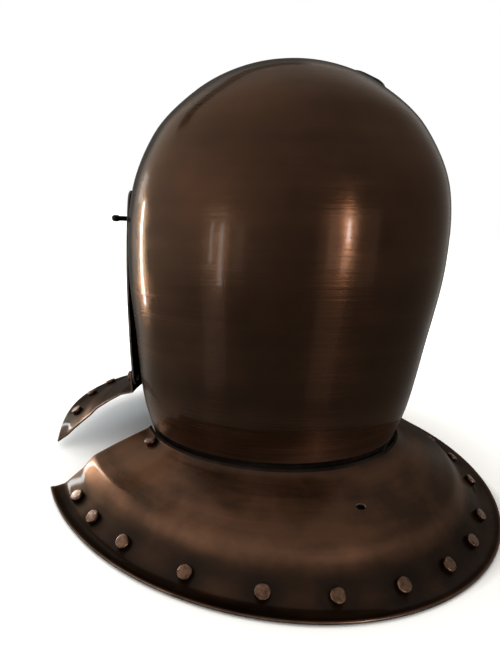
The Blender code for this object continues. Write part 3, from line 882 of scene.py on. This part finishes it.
def make_crown_plate(finish):
    """A small lumpy plate with round ends that follows the dome."""
    half = CROWN_PLATE_WIDTH / 2
    straight = CROWN_PLATE_LENGTH / 2 - half
    outline = []
    for end, start in ((1, -90), (-1, 90)):
        for step in range(19):
            angle = math.radians(start + 10 * step)
            outline.append((end * straight + half * math.cos(angle), half * math.sin(angle)))
    turn = Matrix.Rotation(CROWN_PLATE_TURN, 2)
    # Rings from the seat up: share of the outline, share of the height
    levels = (
        (0.0, 0.0), (0.5, 0.0), (0.97, 0.0), (1.0, 0.12), (1.0, 0.45), (0.97, 0.72),
        (0.90, 0.90), (0.78, 1.0), (0.55, 1.0), (0.30, 1.0), (0.0, 1.0),
    )
    bm = bmesh.new()
    grid = []
    for inset, lift in levels:
        ring = []
        for point in outline if inset else outline[:1]:
            x, y = turn @ Vector(point) * inset
            x -= CROWN_PLATE_RIGHT
            y += CROWN_PLATE_BACK
            lump = 0.80 + 0.10 * noise.noise(Vector((x, y, 0)) / 0.006)
            lump += 0.40 * point[0] * inset / CROWN_PLATE_LENGTH
            z = crown_height(x, y) + GAP + CROWN_PLATE_HEIGHT * lift * lump
            ring.append(bm.verts.new(HELMET_AXIS @ Vector((x, y, z))))
        grid.append(ring)
    for lower, upper in zip(grid, grid[1:]):
        count = max(len(lower), len(upper))
        for i in range(count):
            j = (i + 1) % count
            corners = (lower[i % len(lower)], lower[j % len(lower)],
                       upper[j % len(upper)], upper[i % len(upper)])
            bm.faces.new(dict.fromkeys(corners))
    bmesh.ops.recalc_face_normals(bm, faces=bm.faces)
    mesh = mesh_from(bm, "crown_plate_cast")
    smooth_but_for(mesh, 55)
    mesh.materials.append(finish)
    piece = add_object("crown_plate_cast", mesh)
    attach(piece, "helmet")
    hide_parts("crown_plate")


# Materials

class Nodes:
    """Short calls for the nodes of a material or of the world."""

    def __init__(self, tree):
        self.tree = tree

    def add(self, kind, inputs=None, **settings):
        node = self.tree.nodes.new(kind)
        for key, value in settings.items():
            setattr(node, key, value)
        for key, value in (inputs or {}).items():
            if isinstance(value, bpy.types.NodeSocket):
                self.tree.links.new(value, node.inputs[key])
            else:
                node.inputs[key].default_value = value
        return node

    def math(self, operation, first, second=0.0, third=0.0):
        node = self.add("ShaderNodeMath", {0: first, 1: second, 2: third}, operation=operation)
        return node.outputs[0]

    def measure(self, operation, vector, other=(0.0, 0.0, 0.0)):
        node = self.add("ShaderNodeVectorMath", {0: vector, 1: other}, operation=operation)
        return node.outputs["Value"]

    def spread(self, value, low, high, to_low=0.0, to_high=1.0, shape="LINEAR"):
        inputs = {"Value": value, "From Min": low, "From Max": high}
        inputs.update({"To Min": to_low, "To Max": to_high})
        node = self.add("ShaderNodeMapRange", inputs, clamp=True, interpolation_type=shape)
        return node.outputs[0]

    def soften(self, value, low, high, to_low=0.0, to_high=1.0):
        return self.spread(value, low, high, to_low, to_high, "SMOOTHSTEP")

    def blend(self, share, first, second):
        return self.add("ShaderNodeMix", {0: share, 2: first, 3: second}).outputs[0]

    def mix(self, share, first, second):
        inputs = {0: share, 6: first, 7: second}
        return self.add("ShaderNodeMix", inputs, data_type="RGBA").outputs[2]

    def noise(self, vector, scale, detail=4.0, rough=0.55):
        inputs = {"Vector": vector, "Scale": scale, "Detail": detail, "Roughness": rough}
        return self.add("ShaderNodeTexNoise", inputs).outputs["Fac"]

    def stretched(self, vector, scale):
        return self.add("ShaderNodeMapping", {"Vector": vector, "Scale": scale}).outputs[0]


class Shader(Nodes):
    """A Principled material."""

    def __init__(self, name):
        self.material = bpy.data.materials.new(name)
        self.material.use_nodes = True
        super().__init__(self.material.node_tree)
        self.main = self.tree.nodes["Principled BSDF"]

    def link(self, value, name):
        self.tree.links.new(value, self.main.inputs[name])

    def set_values(self, **values):
        """Sets sockets by name, with _ for a blank."""
        for name, value in values.items():
            self.main.inputs[name.replace("_", " ")].default_value = value


def colour(red, green, blue):
    return (red, green, blue, 1.0)


def patina(
    name, deep, warm, worn_and_lit, rough, grain, lines, line_depth, blotch, even, coat, strokes=0.30
):
    """Polished, darkened copper with fine tool lines, tarnish and painted shade, and worn places
    with some painted light.

    lines and blotch are the fineness of the tool lines and of the clouds, grain stretches the
    shine across the lines, even softens the change from deep to warm, and strokes is the share
    of the broad lines in it.
    """
    shader = Shader(name)
    sheet = shader.add("ShaderNodeUVMap", uv_map="sheet").outputs[0]
    place = shader.add("ShaderNodeTexCoord").outputs["Object"]
    tarnish_and_shade = shader.add("ShaderNodeAttribute", attribute_name="tarnish_and_shade").outputs["Fac"]
    wear_and_light = shader.add("ShaderNodeAttribute", attribute_name="wear_and_light").outputs["Fac"]
    fine = shader.noise(shader.stretched(sheet, (16.0, lines, 1.0)), 1.0, 5.0, 0.65)
    broad = shader.noise(shader.stretched(sheet, (5.0, lines * 0.12, 1.0)), 1.0, 3.0, 0.5)
    cloud = shader.noise(place, blotch, 5.0, 0.6)
    mottle = shader.noise(place, blotch * 3.5, 4.0, 0.55)
    speck = shader.noise(place, 420.0, 2.0, 0.5)
    clouds = shader.math("MULTIPLY", cloud, 0.75)
    tone = shader.math("ADD", clouds, shader.math("MULTIPLY", mottle, 0.25))
    tone = shader.math("ADD", tone, shader.math("MULTIPLY", broad, strokes))
    middle = 0.5 + 0.5 * strokes
    base = shader.mix(shader.spread(tone, middle - even, middle + even), deep, warm)
    # Darkens towards near black where marked: tarnish, and painted shade at the neck, low on the
    # skull and on the collars.
    soil_and_shade = shader.math("MULTIPLY", tarnish_and_shade, shader.spread(mottle, 0.3, 0.65, 0.75, 1.1))
    base = shader.mix(shader.spread(soil_and_shade, 0.0, 1.0, 0.0, 0.88), base, colour(0.008, 0.0055, 0.004))
    # Lightens towards the worn colour where marked: wear, and a patch of painted light on the
    # collars.
    rub_and_light = shader.math("MULTIPLY", wear_and_light, shader.spread(cloud, 0.35, 0.65, 0.5, 1.1))
    base = shader.mix(shader.spread(rub_and_light, 0.0, 1.0, 0.0, 0.85), base, worn_and_lit)
    spots = shader.spread(speck, 0.73, 0.80, 0.0, 0.45)
    base = shader.mix(spots, base, colour(0.010, 0.007, 0.005))
    shader.link(base, "Base Color")
    gloss = shader.math("ADD", rough, shader.spread(fine, 0.3, 0.7, -0.05, 0.05))
    gloss = shader.math("ADD", gloss, shader.spread(soil_and_shade, 0.0, 1.0, 0.0, 0.22))
    gloss = shader.math("ADD", gloss, shader.spread(cloud, 0.3, 0.7, -0.03, 0.05))
    gloss = shader.math("ADD", gloss, shader.spread(wear_and_light, 0.0, 1.0, 0.0, 0.35))
    gloss = shader.math("ADD", gloss, shader.spread(broad, 0.3, 0.7, -0.05, 0.06))
    shader.link(gloss, "Roughness")
    relief = shader.math("ADD", fine, shader.math("MULTIPLY", mottle, 0.6))
    bump = shader.add(
        "ShaderNodeBump", {"Height": relief, "Strength": line_depth, "Distance": 0.0004}
    )
    waves = shader.noise(place, 24.0, 1.0, 0.4)
    sway = shader.add(
        "ShaderNodeBump",
        {"Height": waves, "Strength": 0.6, "Distance": 0.0010, "Normal": bump.outputs[0]},
    )
    shader.link(sway.outputs[0], "Normal")
    along = shader.add("ShaderNodeTangent", direction_type="UV_MAP", uv_map="sheet")
    shader.link(along.outputs[0], "Tangent")
    shader.set_values(Metallic=1.0, Specular_Tint=colour(0.58, 0.55, 0.52))
    shader.set_values(Anisotropic=grain, Anisotropic_Rotation=0.25)
    shader.set_values(Coat_Weight=coat, Coat_Roughness=0.08)
    return shader.material


def plain_metal(name, first, second, rough, scale, depth, rim=1.0):
    """A mottled metal for small pieces, backs and edges."""
    shader = Shader(name)
    place = shader.add("ShaderNodeTexCoord").outputs["Object"]
    cloud = shader.noise(place, scale, 4.0, 0.6)
    grit = shader.noise(place, scale * 5, 3.0, 0.6)
    base = shader.mix(shader.spread(cloud, 0.35, 0.65), first, second)
    shader.link(base, "Base Color")
    shader.link(shader.spread(grit, 0.3, 0.7, rough - 0.08, rough + 0.1), "Roughness")
    bump = shader.add("ShaderNodeBump", {"Height": grit, "Strength": depth, "Distance": 0.0003})
    shader.link(bump.outputs[0], "Normal")
    shader.set_values(Metallic=1.0, Specular_Tint=colour(rim, rim, rim))
    return shader.material


# Studio

def aim(direction):
    return direction.to_track_quat("-Z", "Y").to_matrix().to_4x4()


def card(name, target, azimuth, elevation, distance, width, height, radiance, tint):
    """A soft light that shines at a point from a direction, azimuth from +Y towards +X."""
    across = math.radians(azimuth)
    up = math.radians(elevation)
    away = Vector((math.sin(across) * math.cos(up), math.cos(across) * math.cos(up), math.sin(up)))
    lamp = bpy.data.lights.new(name, "AREA")
    lamp.shape = "RECTANGLE"
    lamp.size = width
    lamp.size_y = height
    lamp.color = tint
    lamp.energy = radiance * math.pi * width * height
    light = bpy.data.objects.new(name, lamp)
    bpy.context.collection.objects.link(light)
    light.matrix_world = Matrix.Translation(Vector(target) + away * distance) @ aim(-away)
    light.visible_camera = False
    return light


def make_world():
    """A pale surround for the camera, and a dim room with a grey ceiling for everything else."""
    world = bpy.data.worlds.new("room")
    bpy.context.scene.world = world
    world.use_nodes = True
    room = Nodes(world.node_tree)
    place = room.add("ShaderNodeTexCoord").outputs["Generated"]
    up = room.add("ShaderNodeSeparateXYZ", {0: place}).outputs[2]

    # Walls that are lighter on one side, with the ceiling above and the ground below
    side = room.spread(room.measure("DOT_PRODUCT", place, LIT_SIDE), -0.30, 1.0, 0.26, 0.90)
    rise = room.soften(up, 0.30, 0.80)
    walls = room.math("MULTIPLY_ADD", rise, -0.35, 1.0)
    ceiling = room.math("MULTIPLY", rise, 0.18)
    level = room.math("MULTIPLY_ADD", side, walls, ceiling)
    ground = room.math("MULTIPLY_ADD", side, 0.26, 0.12)
    level = room.blend(room.soften(up, -0.40, 0.0), ground, level)

    # The dark end of the room, and a dark beam across part of the ceiling
    beyond = room.measure("DOT_PRODUCT", place, DUSK_SIDE)
    level = room.math("MULTIPLY", level, room.soften(beyond, 0.74, 0.86, 1.0, 0.10))
    off_beam = room.math("ABSOLUTE", room.measure("DOT_PRODUCT", place, BEAM_ACROSS))
    beam = room.soften(off_beam, 0.055, 0.070, 0.04, 1.0)
    apart = room.measure("DISTANCE", place, BEAM_MIDDLE)
    beam = room.blend(room.soften(apart, 0.38, 0.46, 1.0, 0.0), 1.0, beam)
    level = room.math("MULTIPLY", level, beam)

    light = room.mix(level, colour(0.0, 0.0, 0.0), colour(2.0, 1.94, 1.86))
    camera_ray = room.add("ShaderNodeLightPath").outputs["Is Camera Ray"]
    seen = room.mix(camera_ray, light, colour(1.0, 1.0, 1.0))
    room.tree.links.new(seen, room.tree.nodes["Background"].inputs["Color"])


def make_floor():
    """A pale floor that glows a little away from the helmet, with painted shade beneath it: a dark
    base colour.
    """
    bm = bmesh.new()
    bmesh.ops.create_circle(bm, cap_ends=True, segments=96, radius=FLOOR_RADIUS)
    mesh = mesh_from(bm, "floor")
    floor = add_object("floor", mesh, Matrix.Translation((0, 0, -FLOOR_DROP)))
    shader = Shader("pale_floor")
    shader.set_values(Roughness=0.9, Specular_IOR_Level=0.1, Emission_Color=colour(1.0, 1.0, 1.0))
    place = shader.add("ShaderNodeTexCoord").outputs["Object"]
    # Painted shade: the base colour turns dark under the helmet.
    open_floor = shader.spread(shader.measure("DISTANCE", place, UNDER_HELMET), 0.105, 0.125)
    base = shader.mix(open_floor, colour(0.10, 0.09, 0.08), colour(0.86, 0.86, 0.85))
    shader.link(base, "Base Color")
    away = shader.measure("LENGTH", place)
    shader.link(shader.spread(away, 0.165, 0.45, 0.0, 0.60), "Emission Strength")
    mesh.materials.append(shader.material)
    floor.visible_glossy = False


def make_lights():
    """Each light: its target, azimuth, elevation, distance, width, height, radiance and tint."""
    side = (0.108, -0.010, 0.150)
    back = (0.050, 0.104, 0.188)
    flank = (0.096, 0.055, 0.180)
    card("front_strip", side, 161.5, -4, 0.45, 0.022, 0.24, 80.0, (0.84, 0.94, 1.0))
    card("front_high", (0.131, -0.026, 0.018), 170, 20, 0.9, 0.12, 0.16, 5.0, (0.84, 0.94, 1.0))
    card("front_warm", side, 163, -14, 0.45, 0.024, 0.03, 46.0, (1.0, 0.45, 0.18))
    card("flank_strip_a", flank, 97, -2, 1.5, 0.05, 0.34, 12.0, (0.80, 0.92, 1.0))
    card("flank_strip_b", flank, 90, -6, 1.5, 0.07, 0.56, 14.0, (0.80, 0.92, 1.0))
    card("flank_dim", flank, 78, -3, 1.5, 0.18, 0.42, 0.9, (0.86, 0.94, 1.0))
    card("flank_glow", flank, 95, -12, 1.6, 0.46, 1.3, 0.5, (0.97, 0.98, 1.0))
    card("back_core", back, 6.5, 4, 1.5, 0.06, 0.22, 75.0, (0.84, 0.92, 1.0))
    card("back_window", back, 8, 2, 1.5, 0.10, 0.60, 10.0, (1.0, 0.74, 0.60))
    card("back_glow", back, 10, 2, 1.55, 0.56, 0.56, 2.0, (1.0, 0.86, 0.74))
    card("back_wide", back, 5, 0, 1.6, 1.30, 0.80, 0.45, (1.0, 0.84, 0.70))
    card("back_low", back, 12, -20, 1.6, 0.50, 1.0, 0.40, (1.0, 0.80, 0.62))
    above = card("overhead", (0, 0, 0), 20, 78, 2.4, 3.4, 3.4, 1.1, (1.0, 0.99, 0.97))
    above.visible_glossy = False


def make_camera():
    """The photo's view. The matrix holds the camera's right, up and back, and its place."""
    data = bpy.data.cameras.new("camera")
    focal_pixels = 505.0
    picture_height = 667.0
    data.sensor_width = 36.0
    data.lens = data.sensor_width * focal_pixels / picture_height
    camera = bpy.data.objects.new("camera", data)
    bpy.context.collection.objects.link(camera)
    camera.matrix_world = Matrix((
        (-0.79408, -0.10122, 0.59933, 0.25062),
        (0.60454, -0.23370, 0.76152, 0.28735),
        (0.06298, 0.96703, 0.24676, 0.19975),
        (0, 0, 0, 1),
    ))
    bpy.context.scene.camera = camera


def make_helmet():
    """The finishes, and then every piece."""
    deep = colour(0.026, 0.0120, 0.0060)
    warm = colour(0.050, 0.0225, 0.0110)
    worn_and_lit = colour(0.30, 0.155, 0.095)
    spun = patina(
        "spun_copper", deep, warm, worn_and_lit, rough=0.18, grain=0.55, lines=520.0, line_depth=0.34,
        blotch=9.0, even=0.15, coat=0.12,
    )
    hammered = {
        "grain": 0.10, "lines": 300.0, "line_depth": 0.16,
        "blotch": 15.0, "even": 0.10, "coat": 0.08,
    }
    beaten = patina(
        "beaten_copper", colour(0.032, 0.0160, 0.0088), colour(0.084, 0.0390, 0.0205), worn_and_lit,
        rough=0.29, strokes=0.75, **hammered,
    )
    smoked = patina(
        "smoked_copper", colour(0.015, 0.0105, 0.0095), colour(0.034, 0.0220, 0.0175), worn_and_lit,
        rough=0.24, **hammered,
    )
    # Near black, its sheen dimmed at all but grazing angles: painted shade for the backs of the
    # sheets and for the band at the neck.
    shade_black = plain_metal(
        "painted_shade_back", colour(0.012, 0.010, 0.009), colour(0.030, 0.022, 0.018),
        rough=0.55, scale=30.0, depth=0.3, rim=0.2,
    )
    edge = plain_metal(
        "rubbed_edge", colour(0.045, 0.030, 0.022), colour(0.15, 0.105, 0.080),
        rough=0.30, scale=60.0, depth=0.2,
    )
    dull_edge = plain_metal(
        "dull_edge", colour(0.04, 0.035, 0.032), colour(0.20, 0.17, 0.15),
        rough=0.4, scale=60.0, depth=0.2,
    )
    heads = plain_metal(
        "rivet_copper", colour(0.055, 0.030, 0.019), colour(0.15, 0.088, 0.058),
        rough=0.32, scale=260.0, depth=0.5,
    )
    iron = plain_metal(
        "black_iron", colour(0.010, 0.009, 0.008), colour(0.030, 0.027, 0.025),
        rough=0.45, scale=200.0, depth=0.4,
    )
    make_skull((spun, shade_black, dull_edge))
    make_visor((spun, shade_black, dull_edge))
    make_rear_collar((beaten, shade_black, edge))
    make_front_collar((smoked, shade_black, edge))
    make_rivets(heads)
    make_bolts(iron)
    make_crown_plate(iron)


bpy.context.scene.view_settings.view_transform = "Standard"
make_helmet()
make_world()
make_floor()
make_lights()
make_camera()
